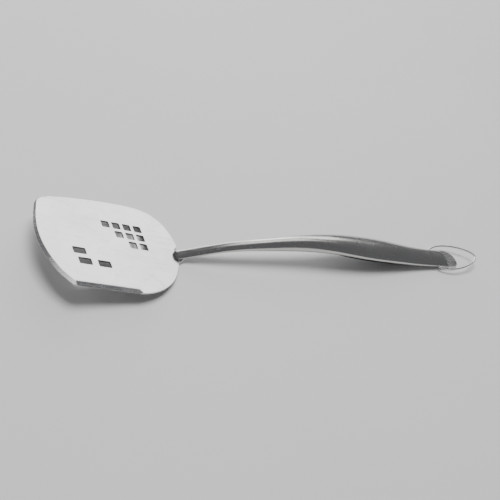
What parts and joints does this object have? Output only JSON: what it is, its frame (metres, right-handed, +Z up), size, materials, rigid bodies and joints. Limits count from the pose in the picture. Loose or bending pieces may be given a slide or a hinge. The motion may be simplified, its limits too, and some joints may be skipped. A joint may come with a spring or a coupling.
{
  "type": "grill spatula",
  "caption": "Long-handled steel grill spatula with a perforated blade, serrated side edge, arched hollow handle, soft grip pad and pivoting wire hang loop.",
  "frame": {"origin": "middle of the footprint on the floor, with the spatula lying at rest on the blade's heel and the handle's end", "axes": "+X from the blade to the hang loop, +Z up, the serrated edge is on the -Y side"},
  "size_m": [0.4728, 0.107, 0.0282],
  "materials": {
    "blade_steel": "fine brushed",
    "handle_steel": "satin brushed along its length",
    "pad_rubber": "matte",
    "tongue_steel": "satin",
    "wire_steel": "polished"
  },
  "bodies": {
    "spatula": {"blade": "blade_steel", "handle_shell": "handle_steel", "grip_pad": "pad_rubber", "end_tongue": "tongue_steel"},
    "loop": {"hang_loop": "wire_steel"}
  },
  "joints": [
    {"name": "loop_pivot", "type": "hinge", "parent": "spatula", "child": "loop", "pos_m": [0.18461, -0.0016, 0.00445], "axis": [0, -1, 0], "range_deg": [-150, 150]}
  ]
}
